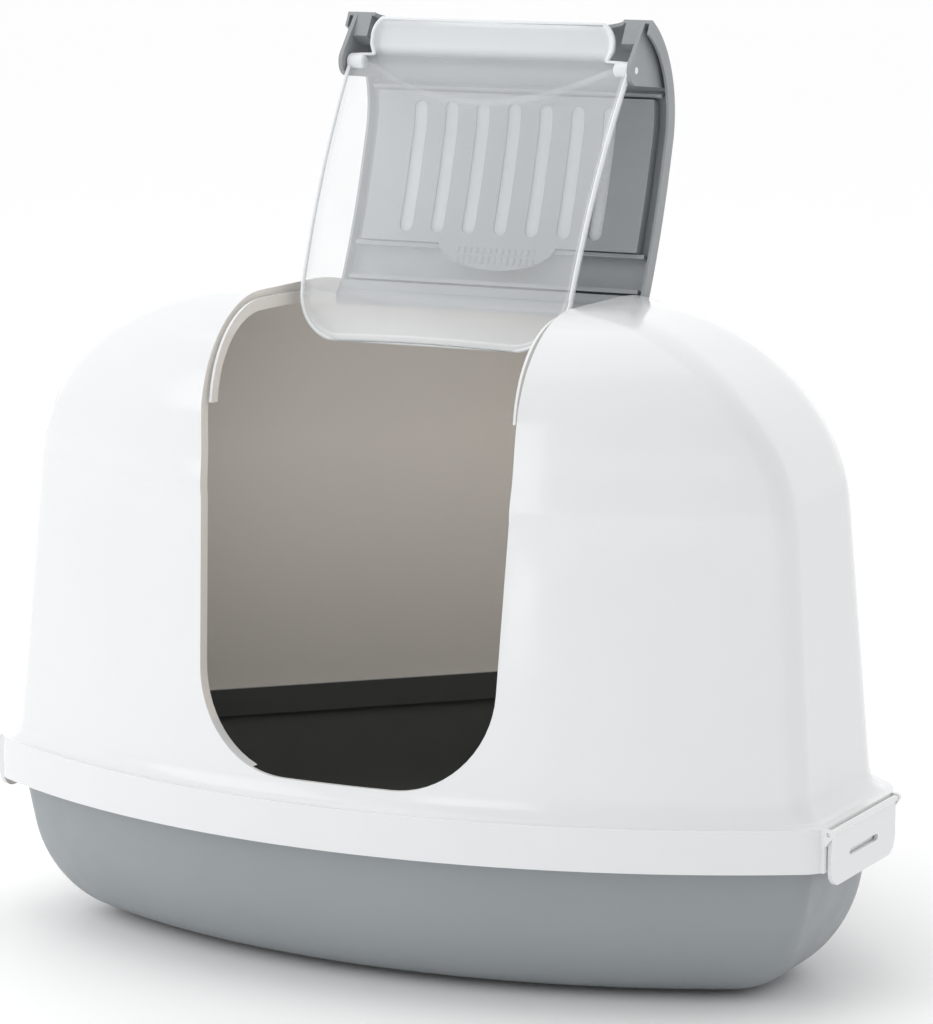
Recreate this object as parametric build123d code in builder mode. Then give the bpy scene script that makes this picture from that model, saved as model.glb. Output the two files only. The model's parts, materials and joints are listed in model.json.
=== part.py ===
from build123d import *
import os
from math import asin, atan2, cos, degrees, radians, sin, sqrt, tan

os.makedirs("parts", exist_ok=True)

# Corner cat litter box: a deep tray, a gutter-edged hood clipped onto it, a lid that tips back
# and a see-through swing flap on the lid. Millimetres, +Z up, -Y is the front, drawn with the
# lid tipped back. The origin is on the floor, under the middle of the rim.

# ---- Overall sizes ----
WIDTH = 556.0              # rim, side to side
SIDE_DEPTH = 177.0         # rim, front to rear, without the half width its square corner adds
HEIGHT = 400.0             # floor to the flat of the hood's roof
FRONT_RADIUS = 520.0       # plan radius of the bowed front
SIDE_CORNER = 40.0         # plan radius where a side turns into a rear wall
FRONT_CORNER = 20.0        # plan radius where the front turns into a side
REAR_CORNER = 52.0         # plan radius of the corner that goes into the room's corner
ROOF_EASE = (4.0, -6.0, 30.0)  # growth of the front, side and rear corner radii towards the roof
FLOOR_EASE = (4.0, 20.0)   # the same for the tray's front and rear corners, towards its floor
OVERRUN = 60.0             # how far a cutting block runs out past the lid's face

ROUND_STEP, FLARE_STEP = 10, 15  # degrees between the plans of a rounding and of the flare

# ---- Walls and clearances ----
HOOD_WALL = 2.6
TRAY_WALL = 2.8
SLIP = 0.6                 # side play between pieces that only fit into each other
PIN_PLAY = 0.06            # radial play of a hinge pin in its hole

# ---- Rim band, where hood and tray meet ----
BAND_BOTTOM = 88.0
BAND_HEIGHT = 26.0
BAND_EDGE = 2.0            # width of the band's flat top edge
FLARE_WIDTH = 11.5         # how far the flare brings the wall in from the band
FLARE_HEIGHT = 16.0
SEAT = 104.0               # height of the tray flange that the hood stands on

# ---- Hood ----
FRONT_OUT = 5.0            # the front wall stands this much nearer the band than the other walls
HOOD_DRAFT = 4.7           # degrees
SHOULDER_LOW = 285.0       # height where the side and rear walls begin to round over
SIDE_ROUND = 125.0
REAR_ROUND = 105.0
BROW_LOW = 335.0           # the same for the front wall
BROW_ROUND = 66.0

# ---- Tray ----
TRAY_IN = 9.5              # tray's wall, in from the rim, under the seat
TRAY_DRAFT = 9.5           # degrees
TRAY_BEND = 60.0           # height where the wall begins to round into the floor
TRAY_ROUND = 40.0
TRAY_LIP = 119.0           # top of the tray's inner lip, inside the hood
LIP_THICK = 2.2

# ---- Opening and lid ----
OPEN_HALF = 103.5          # half the opening's width at its notches and along the roof
OPEN_FOOT_HALF = 98.0      # half the opening's width where its lower corners begin
OPEN_BOTTOM = 126.0
OPEN_CORNER = 62.0
RETURN_DEPTH = 8.0         # how far the opening's edge turns inwards
HINGE_FROM_FRONT = 209.0   # lid hinge, from the front of the rim
HINGE_HEIGHT = 386.0
LID_ANGLE = 106.0          # from tipped back to shut
LID_SKIN = 2.2
FLANGE_DEPTH = 9.5
FLANGE_WALL = 1.6
CROWN_RADIUS = 490.0       # gentle arch of the lid along its length
CROWN_RISE = 15.0          # top of the lid over the hinge
CROWN_FROM_HINGE = 91.0
BROW_FROM_HINGE = 107.0    # centre of the lid's rounded front, measured forwards
LID_END_ANGLE = 167.0      # where the rounded front stops, about that centre
NOTCH_ANGLE = 174.8        # the same for the gutter in the hood
LIP_WALL = 1.6             # upstanding inner lip of the hood's gutter
LIP_LOW = 5.0              # the lip's top lies this much below the lid's outside
BARREL_RADIUS = 5.0
PIN_RADIUS = 2.5
REAR_EDGE = 14.2           # hinge to the rear edge of the roof opening, the lid's stop
REAR_LIP = 19.0            # height of the edging there
GUTTER_DEPTH = 10.0        # lid's outside to the floor of the hood's gutter
GUTTER_FLOOR = 2.2
GUTTER_REAR = -13.0        # rear end of the gutter, from the hinge
BOSS_RADIUS = 6.0
BOSS_WIDTH = 5.5
RIB_DEPTH = 8.8
RIB_WALL = 2.5
RIBS = (-35.0, -13.0)      # cross ribs, from the hinge
TOP_RIB_ANGLE = 117.0      # rib at the start of the rounded front
TOP_RIB_HALF = 1.1         # half its thickness, in degrees
EAR_WALL = 2.6
EAR_RADIUS = 9.0
EAR_ANGLE = 120.0          # where the ears begin along the rounded front
BLOCK_IN = 86.0            # inner face of the corner blocks
BLOCK_DEPTH = 16.0
BLOCK_ANGLE = 155.0
ARCH_DEPTH = 13.0          # arch cut from the lid's front edge, over the flap's grip
ARCH_HALF = 84.0

# ---- Flap ----
FLAP_WALL = 2.2
FLAP_REACH = 183.0         # pivot to the bottom edge
FLAP_LEAN = 244.0          # direction of the hanging flap, from +Y towards +Z
FLAP_FOOT_HALF = 90.0
FLAP_CORNER = 34.0
FLAP_RISE = 8.3            # how far the sides of the flap stand out from its chord
FLAP_CROWN = 0.8           # rise of the middle over the sides at the pivot
FLAP_BULGE = 12.0          # extra rise of the middle at the bottom edge
FLAP_BARREL = 4.5
BARREL_SHORT = 0.2         # the pivot barrels stop this short of the flap's edges
GRIP_HALF = 80.0
GRIP_HEIGHT = 27.0
GRIP_CURL = 6.5            # how far the grip bends out
GRIP_TAPER = 4.0
GRIP_CORNER = 8.0
PIVOT_INSET = 29.4         # lid's inner face to the flap pivot
PIVOT_ANGLE = 161.8        # direction of the pivot from the centre of the lid's rounded front

# ---- Filter ----
COVER_WALL = 1.8
COVER_DEPTH = 11.0         # lid's outside to the cover's face
COVER_HALF = 94.0
COVER_SPAN = (-130.4, -36.9)   # front and rear edge, from the hinge
TONGUE_HALF = 40.0         # half-round press tongue at the rear edge
TONGUE_REACH = 18.0
TONGUE_INSET = 2.0         # its centre, ahead of the cover's rear edge
SLOT_COUNT = 7
SLOT_PITCH = 21.5
SLOT_WIDTH = 9.0
SLOT_LENGTH = 82.0
SLOT_MIDDLE = -84.0
PAD_THICK = 6.2            # carbon filter
PAD_GAP = 3.0              # between the filter and the cover's walls

# ---- Clips and feet ----
CLIP_LENGTH = 100.0
CLIP_WALL = 2.4
CLIP_FROM_FRONT = 136.0    # middle of the clip
CLIP_AXIS_DROP = 3.0       # hinge line, below the top of the band
CLIP_GAP = 0.5             # clip's plate to the rim
CLIP_PIN = 1.2
CLIP_PIN_LENGTH = 3.0
CLIP_BARREL = 2.0
CLIP_CORNER = 12.0
CLIP_SLOT = (44.0, 3.9)
CLIP_SLOT_HEIGHT = 94.0
HOOK_REACH = 7.5
HOOK_THICK = 2.5
HOOK_LENGTH = 60.0
LUG_RADIUS = 2.4
LUG_WALL = 3.4
LUG_GAP = 0.4
LUG_FOOT = 12.0            # height of an eye where it joins the band
LUG_PAD = 16.0             # depth of the straight pad behind a clip
CLIP_BELOW = 9.5           # how far the clip reaches below the band
CATCH_IN = 2.0             # tip of the catch under the band, in from the rim
CATCH_REACH = 12.0
CATCH_HEIGHT = 6.5
CATCH_LENGTH = 50.0
FOOT_HEIGHT = 3.0
FOOT_LENGTH = 60.0
FOOT_WIDTH = 20.0
FOOT_CORNER = 6.0
FRONT_FOOT = (172.0, 122.0, 23.5)  # sideways, from the front, and turn in degrees
REAR_FOOT = (50.0, 262.0, 0.0)

# ---- Worked out from the above ----
DEPTH = SIDE_DEPTH + WIDTH / 2                                # rim, front to the rear corner
FRONT_Y = -DEPTH / 2
BAND_TOP = BAND_BOTTOM + BAND_HEIGHT
FLARE_TOP = BAND_TOP + FLARE_HEIGHT
WALL_IN = BAND_EDGE + FLARE_WIDTH
SIDE_REAR = SIDE_DEPTH + (sqrt(2) - 1) * REAR_CORNER          # sharp side/rear corner, from the front
HINGE = (0, FRONT_Y + HINGE_FROM_FRONT, HINGE_HEIGHT)
BROW = (-BROW_FROM_HINGE, CROWN_RISE - BROW_ROUND)            # beside and above the hinge
LID_END = BROW[1] + BROW_ROUND * sin(radians(LID_END_ANGLE))
LID_HALF = OPEN_HALF - SLIP
LIP_OUT = LID_HALF - FLANGE_WALL - SLIP
LIP_IN = LIP_OUT - LIP_WALL
EAR_OUT = LIP_IN - SLIP
EAR_IN = EAR_OUT - EAR_WALL
FLAP_HALF = EAR_IN - SLIP
NOTCH = HINGE_HEIGHT + BROW[1] + BROW_ROUND * sin(radians(NOTCH_ANGLE))
PIVOT_REACH = BROW_ROUND - LID_SKIN - PIVOT_INSET
PIVOT = (BROW[0] + PIVOT_REACH * cos(radians(PIVOT_ANGLE)),
         BROW[1] + PIVOT_REACH * sin(radians(PIVOT_ANGLE)))

# Side-on planes through the hinge: local x is the lid's rearward direction and local y its
# upward one, for the shut lid and for the lid tipped back. Local z is the width.
SHUT = Plane(origin=HINGE, x_dir=(0, 1, 0), z_dir=(1, 0, 0))
TURN = radians(LID_ANGLE)
TIPPED = Plane(origin=HINGE, x_dir=(0, cos(TURN), -sin(TURN)), z_dir=(1, 0, 0))
ONTO_LID = Plane(origin=HINGE, x_dir=(1, 0, 0), z_dir=TIPPED.y_dir)   # local y is the lid's x
DOOR_PLANE = Plane.XZ.offset(-HINGE[1] - REAR_EDGE)           # faces the front
SWING = TIPPED.from_local_coords(Vector(*PIVOT))              # the flap's pivot
HANG = Vector(0, cos(radians(FLAP_LEAN)), sin(radians(FLAP_LEAN)))
CLIP_MIDDLE = FRONT_Y + CLIP_FROM_FRONT
CLIP_FACE = WIDTH / 2 + CLIP_GAP
CLIP_AXIS = (CLIP_FACE + CLIP_BARREL, BAND_TOP - CLIP_AXIS_DROP)
CLIP_FOOT = BAND_BOTTOM - CLIP_BELOW


# ---------------------------------------------------------------- plan outlines
def outline(z, front, side, rear, r_front, r_side, r_rear):
    """Rounded plan of the box at height z, each wall moved in by its own inset."""
    half = WIDTH / 2 - side
    middle = FRONT_Y + FRONT_RADIUS
    bow = FRONT_RADIUS - front
    c_front = Vector(half - r_front, middle - sqrt((bow - r_front) ** 2 - (half - r_front) ** 2))
    rear_sum = FRONT_Y + SIDE_REAR + WIDTH / 2 - sqrt(2) * rear
    c_side = Vector(half - r_side, rear_sum - half - r_side * tan(radians(45 / 2)))
    c_rear = Vector(0, rear_sum - sqrt(2) * r_rear)
    swing = degrees(atan2(c_front.X, middle - c_front.Y))
    slant = Vector(sqrt(0.5), sqrt(0.5))
    with BuildSketch(Plane.XY.offset(z)) as plan:
        with BuildLine():
            CenterArc((0, middle), bow, 270 - swing, 2 * swing)
            corner = CenterArc((c_front.X, c_front.Y), r_front, swing - 90, 90 - swing)
            flank = Line((half, c_front.Y), (half, c_side.Y))
            bend = CenterArc((c_side.X, c_side.Y), r_side, 0, 45)
            back = Line(c_side + slant * r_side, c_rear + slant * r_rear)
            mirror(objects=[corner, flank, bend, back], about=Plane.YZ)
            CenterArc((0, c_rear.Y), r_rear, 45, 90)
        make_face()
    return plan.sketch


def rim_plan(z, inset):
    return outline(z, inset, inset, inset, FRONT_CORNER, SIDE_CORNER, REAR_CORNER)


def quarter(value, start, end):
    """0 at start, 1 at end, as the inset of a quarter ellipse that leaves start upright."""
    share = min(max((value - start) / (end - start), 0.0), 1.0)
    return 1 - sqrt(1 - share * share)


def skirt_plan(z, deeper=0.0):
    """Plan of the foot of the hood's walls, at any height, moved in by deeper."""
    inset = WALL_IN + deeper
    return outline(z, inset - FRONT_OUT, inset, inset, FRONT_CORNER, SIDE_CORNER, REAR_CORNER)


def hood_plan(z, deeper=0.0, top=HEIGHT):
    """Plan of the hood's walls and shoulders, moved in by deeper, with its roof at top."""
    lean = (z - FLARE_TOP) * tan(radians(HOOD_DRAFT))
    base = WALL_IN + lean + deeper
    turn = quarter(z, SHOULDER_LOW, top)
    brow = quarter(z, BROW_LOW, top)
    front, side, rear = (ease * turn for ease in ROOF_EASE)
    return outline(z, base - FRONT_OUT + brow * BROW_ROUND, base + turn * SIDE_ROUND,
                   base + turn * REAR_ROUND, FRONT_CORNER + front, SIDE_CORNER + side, REAR_CORNER + rear)


def stacked(plans, ruled=False):
    """Solid through a stack of plans, straight between them or smooth."""
    with BuildPart() as block:
        for plan in plans:
            add(plan)
        loft(ruled=ruled)
    return block.part


def rounding_heights(start, end):
    """Heights that follow a quarter round from start to end in even turns."""
    return [start + (end - start) * sin(radians(angle)) for angle in range(0, 91, ROUND_STEP)]


def hood_block(foot, deeper=0.0, top=HEIGHT):
    """Solid of the hood from height foot up: straight walls, then shoulders rounding to the roof."""
    walls = stacked([hood_plan(foot, deeper, top), hood_plan(SHOULDER_LOW, deeper, top)], True)
    dome = stacked([hood_plan(z, deeper, top) for z in rounding_heights(SHOULDER_LOW, top)])
    return walls + dome


def flare_block(foot, edge, rise, deeper=0.0):
    """Solid under the hollow curve that brings the rim's edge in to the foot of the hood's walls."""
    plans = []
    for angle in range(0, 91, FLARE_STEP):
        z = foot + rise * (1 - cos(radians(angle)))
        way = sin(radians(angle))
        side = edge + (WALL_IN + deeper - edge) * way
        plans.append(outline(z, side - FRONT_OUT * way, side, side, FRONT_CORNER, SIDE_CORNER, REAR_CORNER))
    return stacked(plans, True)


def column(plan, height):
    with BuildPart() as block:
        add(plan)
        extrude(amount=height)
    return block.part


def tray_plan(z, deeper=0.0, floor=FOOT_HEIGHT):
    """Plan of the tray's outside, moved in by deeper, with its floor at floor."""
    turn = quarter(z, TRAY_BEND, floor)
    inset = TRAY_IN + (SEAT - z) * tan(radians(TRAY_DRAFT)) + turn * TRAY_ROUND + deeper
    front, rear = (ease * turn for ease in FLOOR_EASE)
    return outline(z, inset, inset, inset, FRONT_CORNER + front, SIDE_CORNER, REAR_CORNER + rear)


def tray_block(deeper=0.0, floor=FOOT_HEIGHT):
    bowl = stacked([tray_plan(z, deeper, floor) for z in rounding_heights(TRAY_BEND, floor)])
    walls = stacked([tray_plan(TRAY_BEND, deeper, floor), tray_plan(SEAT, deeper, floor)], True)
    return bowl + walls


# ---------------------------------------------------------------- side-on outlines of the lid
def brow_band(outer, inner, start, end):
    """Strip of the lid's rounded front between two depths, start and end in degrees."""
    with BuildLine() as edge:
        skin = CenterArc(BROW, BROW_ROUND - outer, start, end - start)
        inside = CenterArc(BROW, BROW_ROUND - inner, start, end - start)
        Line(skin @ 0, inside @ 0)
        Line(skin @ 1, inside @ 1)
    make_face(edge.edges())


def lid_band(outer, inner, rear=0.0, end=LID_END_ANGLE):
    """Strip that follows the lid's outside between two depths, from rear of the hinge to its end."""
    fronts, rears = [], []
    with BuildLine() as edge:
        for depth in (outer, inner):
            radius = CROWN_RADIUS - depth
            fall = degrees(asin((rear + CROWN_FROM_HINGE) / radius))
            crown = CenterArc((-CROWN_FROM_HINGE, CROWN_RISE - CROWN_RADIUS), radius, 90 - fall, fall)
            bend = CenterArc(BROW, BROW_ROUND - depth, 90, end - 90)
            Line(bend @ 0, crown @ 1)
            fronts.append(bend @ 1)
            rears.append(crown @ 0)
        Line(*fronts)
        Line(*rears)
    make_face(edge.edges())


def door_block(grow=0.0):
    """Block that fills the front and roof opening and runs out past both, its sides moved out by grow."""
    spread = (OPEN_HALF - OPEN_FOOT_HALF) / (NOTCH - OPEN_BOTTOM - OPEN_CORNER)
    foot = OPEN_FOOT_HALF - spread * OPEN_CORNER
    with BuildPart() as block:
        with BuildSketch(DOOR_PLANE) as door:
            with BuildLine():
                side = Polyline((0, OPEN_BOTTOM), (foot, OPEN_BOTTOM), (OPEN_HALF, NOTCH),
                                (OPEN_HALF, HEIGHT + OVERRUN), (0, HEIGHT + OVERRUN))
                mirror(side, about=Plane.YZ)
            make_face()
            fillet(door.vertices().group_by(Axis.Y)[0].filter_by(lambda v: abs(v.X) > 1), OPEN_CORNER)
            if grow:
                offset(amount=grow, kind=Kind.INTERSECTION)
        extrude(amount=DEPTH)
    return block.part


def slab(plane, low, high, draw, *sizes):
    """Solid from a side-on outline, from x = low to x = high."""
    with BuildPart() as solid:
        with BuildSketch(plane.offset(low)):
            draw(*sizes)
        extrude(amount=high - low)
    return solid.part


def twin(plane, near, far, draw, *sizes):
    """The same slab on both sides of the middle."""
    return slab(plane, near, far, draw, *sizes) + slab(plane, -far, -near, draw, *sizes)


def disc(centre, radius):
    with Locations(centre):
        Circle(radius)


def ear():
    brow_band(LID_SKIN / 2, LID_SKIN, EAR_ANGLE, LID_END_ANGLE)
    disc(PIVOT, EAR_RADIUS)
    make_hull()


def cross_rib(at):
    lid_band(LID_SKIN / 2, RIB_DEPTH)
    with Locations((at, 0)):
        Rectangle(RIB_WALL, OVERRUN, mode=Mode.INTERSECT)


def lid_root():
    """Joins the rear edge of the lid's skin to the hinge barrel."""
    lid_band(0, FLANGE_DEPTH)
    with Locations((-BARREL_RADIUS, 0)):
        Rectangle(2 * BARREL_RADIUS, OVERRUN, mode=Mode.INTERSECT)
    Circle(BARREL_RADIUS)


def over_lid(half, span):
    """Upright block over a rectangle of the lid, span from front to rear along the lid."""
    with BuildPart() as block:
        with BuildSketch(ONTO_LID.offset(-OVERRUN)):
            with Locations((0, sum(span) / 2)):
                Rectangle(2 * half, span[1] - span[0])
        extrude(amount=2 * OVERRUN)
    return block.part


# ---------------------------------------------------------------- base tray
with BuildPart() as base_tray:
    add(tray_block())
    add(tray_block(TRAY_WALL, FOOT_HEIGHT + TRAY_WALL), mode=Mode.SUBTRACT)
    rim = column(rim_plan(SEAT - TRAY_WALL, HOOD_WALL + SLIP), TRAY_WALL)
    rim += column(skirt_plan(SEAT, HOOD_WALL + SLIP), TRAY_LIP - SEAT)
    lip_inside = skirt_plan(SEAT - TRAY_WALL, HOOD_WALL + SLIP + LIP_THICK)
    add(rim - column(lip_inside, TRAY_LIP - SEAT + TRAY_WALL))
    for side in (-1, 1):
        with BuildSketch(Plane.XY.offset(BAND_BOTTOM - CATCH_HEIGHT)):
            with Locations((side * (WIDTH / 2 - CATCH_IN - CATCH_REACH / 2), CLIP_MIDDLE)):
                Rectangle(CATCH_REACH, CATCH_LENGTH)
        extrude(amount=CATCH_HEIGHT - CLIP_GAP)
base_tray.part.label = "base_tray"


# ---------------------------------------------------------------- hood
def channel():
    """Hollow between the rim band and the skirt that stands on the tray, open below."""
    hollow = column(rim_plan(BAND_BOTTOM, HOOD_WALL), BAND_HEIGHT - HOOD_WALL)
    hollow += flare_block(BAND_TOP - HOOD_WALL, HOOD_WALL, FLARE_HEIGHT + HOOD_WALL, HOOD_WALL)
    return hollow - column(skirt_plan(SEAT), FLARE_TOP - SEAT)


def edging(envelope):
    """Turned-in edge of the opening, and the gutters and stop that the lid lies in."""
    turned = door_block(HOOD_WALL) - door_block()
    turned -= hood_block(FLARE_TOP, RETURN_DEPTH, HEIGHT - RETURN_DEPTH)
    floor = GUTTER_DEPTH + GUTTER_FLOOR
    turned += twin(SHUT, OPEN_HALF, OPEN_HALF + HOOD_WALL, lid_band, -OVERRUN, floor, REAR_EDGE, NOTCH_ANGLE)
    turned += twin(SHUT, LIP_IN, OPEN_HALF + 0.5, lid_band, GUTTER_DEPTH, floor, GUTTER_REAR,
                   NOTCH_ANGLE)
    turned += twin(SHUT, LIP_IN, LIP_OUT, lid_band, LIP_LOW, floor, GUTTER_REAR, NOTCH_ANGLE)
    with BuildPart() as stop:
        with Locations((0, HINGE[1] + REAR_EDGE + HOOD_WALL / 2, HEIGHT - REAR_LIP / 2)):
            Box(2 * (OPEN_HALF + HOOD_WALL), HOOD_WALL, REAR_LIP)
    turned += stop.part
    return turned & envelope


def clip_lug(side, end):
    """Eye at one end of a clip, on the rim band."""
    near = CLIP_MIDDLE + end * (CLIP_LENGTH / 2 + LUG_GAP + LUG_WALL / 2) + LUG_WALL / 2
    with BuildPart() as lug:
        with BuildSketch(Plane.XZ.offset(-near)):
            disc((side * CLIP_AXIS[0], CLIP_AXIS[1]), LUG_RADIUS)
            with Locations((side * (WIDTH / 2 - 1), BAND_TOP - LUG_FOOT / 2)):
                Rectangle(1, LUG_FOOT)
            make_hull()
            with Locations((side * CLIP_AXIS[0], CLIP_AXIS[1])):
                Circle(CLIP_PIN + PIN_PLAY, mode=Mode.SUBTRACT)
        extrude(amount=LUG_WALL)
    return lug.part


with BuildPart() as hood:
    add(column(rim_plan(BAND_BOTTOM, 0), BAND_HEIGHT))
    for side in (-1, 1):
        with Locations((side * (WIDTH / 2 - LUG_PAD / 2), CLIP_MIDDLE, BAND_BOTTOM + BAND_HEIGHT / 2)):
            Box(LUG_PAD, CLIP_LENGTH + 2 * (LUG_GAP + LUG_WALL), BAND_HEIGHT)
    add(flare_block(BAND_TOP, BAND_EDGE, FLARE_HEIGHT))
    outer = hood_block(FLARE_TOP)
    add(outer)
    add(channel(), mode=Mode.SUBTRACT)
    add(column(skirt_plan(SEAT, HOOD_WALL), FLARE_TOP - SEAT), mode=Mode.SUBTRACT)
    add(hood_block(FLARE_TOP, HOOD_WALL, HEIGHT - HOOD_WALL), mode=Mode.SUBTRACT)
    add(door_block(), mode=Mode.SUBTRACT)
    add(edging(outer))
    add(twin(SHUT, OPEN_HALF, OPEN_HALF + BOSS_WIDTH, disc, (0, 0), BOSS_RADIUS))
    add(twin(SHUT, OPEN_HALF - 1, OPEN_HALF + BOSS_WIDTH + 1, disc, (0, 0), PIN_RADIUS + PIN_PLAY),
        mode=Mode.SUBTRACT)
    for side in (-1, 1):
        for end in (-1, 1):
            add(clip_lug(side, end))
hood.part.label = "hood"

# ---------------------------------------------------------------- lid, drawn tipped back
with BuildPart() as lid:
    add(slab(TIPPED, -LID_HALF, LID_HALF, lid_band, 0, LID_SKIN))
    add(slab(TIPPED, -LID_HALF, LID_HALF, lid_root))
    add(twin(TIPPED, LID_HALF - FLANGE_WALL, LID_HALF, lid_band, 0, FLANGE_DEPTH))
    for at in RIBS:
        add(slab(TIPPED, -EAR_OUT, EAR_OUT, cross_rib, at))
    add(slab(TIPPED, -EAR_OUT, EAR_OUT, brow_band, LID_SKIN / 2, RIB_DEPTH, TOP_RIB_ANGLE - TOP_RIB_HALF,
             TOP_RIB_ANGLE + TOP_RIB_HALF))
    with BuildSketch(Plane(origin=TIPPED.from_local_coords(Vector(BROW[0] - BROW_ROUND - 10, LID_END)),
                           x_dir=(1, 0, 0), z_dir=-TIPPED.x_dir)):
        Ellipse(ARCH_HALF, ARCH_DEPTH)
    extrude(amount=-40, mode=Mode.SUBTRACT)
    add(twin(TIPPED, BLOCK_IN, EAR_OUT, brow_band, LID_SKIN / 2, BLOCK_DEPTH, BLOCK_ANGLE, LID_END_ANGLE))
    add(twin(TIPPED, EAR_IN, EAR_OUT, ear))
    add(twin(TIPPED, EAR_IN - 1, EAR_OUT + 1, disc, PIVOT, PIN_RADIUS + PIN_PLAY), mode=Mode.SUBTRACT)
    add(twin(TIPPED, LID_HALF - 1, OPEN_HALF + BOSS_WIDTH - 1, disc, (0, 0), PIN_RADIUS))
lid.part.label = "lid"


# ---------------------------------------------------------------- swing flap
def flap_section(reach):
    """Cross-section of the flap at a distance below the pivot, or above it for the grip."""
    share = max(reach, 0) / FLAP_REACH
    curl = min(reach, 0) / GRIP_HEIGHT
    side = 4 * FLAP_RISE * share * (1 - share) + GRIP_CURL * curl * curl
    middle = side + FLAP_CROWN + FLAP_BULGE * share
    with BuildSketch(Plane(origin=SWING + HANG * reach, x_dir=(1, 0, 0), z_dir=HANG)) as section:
        with BuildLine():
            front = ThreePointArc((-FLAP_HALF, side), (0, middle), (FLAP_HALF, side))
            back = ThreePointArc((-FLAP_HALF, side - FLAP_WALL), (0, middle - FLAP_WALL),
                                 (FLAP_HALF, side - FLAP_WALL))
            Line(front @ 0, back @ 0)
            Line(front @ 1, back @ 1)
        make_face()
    return section.sketch


with BuildPart() as flap:
    for reach in (-GRIP_HEIGHT, -GRIP_HEIGHT / 2, 0, FLAP_REACH / 4, FLAP_REACH / 2, 3 * FLAP_REACH / 4,
                  FLAP_REACH):
        add(flap_section(reach))
    loft()
    with BuildSketch(Plane(origin=SWING, x_dir=(1, 0, 0), z_dir=HANG.cross(Vector(1, 0, 0)))) as trim:
        with BuildLine():
            Polyline((0, -FLAP_REACH), (FLAP_FOOT_HALF, -FLAP_REACH), (FLAP_HALF, FLAP_BARREL),
                     (GRIP_HALF + GRIP_TAPER, FLAP_BARREL), (GRIP_HALF, GRIP_HEIGHT), (0, GRIP_HEIGHT))
            mirror(about=Plane.YZ)
        make_face()
        fillet(trim.vertices().group_by(Axis.Y)[0], FLAP_CORNER)
        fillet(trim.vertices().group_by(Axis.Y)[-1], GRIP_CORNER)
    extrude(amount=OVERRUN, both=True, mode=Mode.INTERSECT)
    add(twin(TIPPED, BLOCK_IN, FLAP_HALF - BARREL_SHORT, disc, PIVOT, FLAP_BARREL))
    add(twin(TIPPED, FLAP_HALF - 1, EAR_OUT, disc, PIVOT, PIN_RADIUS))
flap.part.label = "flap"

# ---------------------------------------------------------------- carbon filter and its cover
def tongue_block():
    """Upright block over the half-round press tongue at the rear edge of the cover."""
    with BuildPart() as block:
        with BuildSketch(ONTO_LID.offset(-OVERRUN)):
            with Locations((0, COVER_SPAN[1] - TONGUE_INSET)):
                Ellipse(TONGUE_HALF, TONGUE_REACH)
        extrude(amount=2 * OVERRUN)
    return block.part


cover_inside = COVER_DEPTH - COVER_WALL
cover_hollow = (COVER_SPAN[0] + COVER_WALL, COVER_SPAN[1] - COVER_WALL)
with BuildPart() as filter_cover:
    add(slab(TIPPED, -COVER_HALF, COVER_HALF, lid_band, LID_SKIN, COVER_DEPTH, RIBS[-1]))
    add(over_lid(COVER_HALF, COVER_SPAN), mode=Mode.INTERSECT)
    add(slab(TIPPED, -COVER_HALF, COVER_HALF, lid_band, 0, cover_inside)
        & over_lid(COVER_HALF - COVER_WALL, cover_hollow), mode=Mode.SUBTRACT)
    add(slab(TIPPED, -COVER_HALF, COVER_HALF, lid_band, cover_inside, COVER_DEPTH, GUTTER_REAR)
        & tongue_block())
    with BuildSketch(ONTO_LID.offset(-OVERRUN)):
        with Locations((0, SLOT_MIDDLE)):
            with GridLocations(SLOT_PITCH, 1, SLOT_COUNT, 1):
                SlotOverall(SLOT_LENGTH, SLOT_WIDTH, rotation=90)
    extrude(amount=2 * OVERRUN, mode=Mode.SUBTRACT)
filter_cover.part.label = "filter_cover"

with BuildPart() as carbon_filter:
    add(slab(TIPPED, -COVER_HALF, COVER_HALF, lid_band, cover_inside - PAD_THICK, cover_inside))
    add(over_lid(COVER_HALF - COVER_WALL - PAD_GAP,
                 (cover_hollow[0] + PAD_GAP, cover_hollow[1] - PAD_GAP)), mode=Mode.INTERSECT)
carbon_filter.part.label = "carbon_filter"


# ---------------------------------------------------------------- clips
def along_clip(length, draw, *sizes):
    with BuildPart() as bar:
        with BuildSketch(Plane.XZ.offset(-CLIP_MIDDLE - length / 2)):
            draw(*sizes)
        extrude(amount=length)
    return bar.part


def hook(side):
    with Locations((side * (CLIP_FACE + 1 - (HOOK_REACH + 1) / 2), CLIP_FOOT + HOOK_THICK / 2)):
        Rectangle(HOOK_REACH + 1, HOOK_THICK)


def clip(side):
    """Clip that hangs on the rim band and hooks under the tray's catch; side is -1 or 1."""
    top = CLIP_AXIS[1]
    axis = (side * CLIP_AXIS[0], CLIP_AXIS[1])
    with BuildPart() as piece:
        with BuildSketch(Plane(origin=(side * CLIP_FACE, CLIP_MIDDLE, 0), x_dir=(0, side, 0),
                               z_dir=(side, 0, 0))) as plate:
            with Locations((0, (top + CLIP_FOOT) / 2)):
                Rectangle(CLIP_LENGTH, top - CLIP_FOOT)
            fillet(plate.vertices().group_by(Axis.Y)[0], CLIP_CORNER)
            with Locations((0, CLIP_SLOT_HEIGHT)):
                SlotOverall(*CLIP_SLOT, mode=Mode.SUBTRACT)
        extrude(amount=CLIP_WALL)
        add(along_clip(CLIP_LENGTH, disc, axis, CLIP_BARREL))
        add(along_clip(CLIP_LENGTH + 2 * CLIP_PIN_LENGTH, disc, axis, CLIP_PIN))
        add(along_clip(HOOK_LENGTH, hook, side))
    return piece.part


clip_left, clip_right = clip(-1), clip(1)
clip_left.label, clip_right.label = "clip_left", "clip_right"


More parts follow.
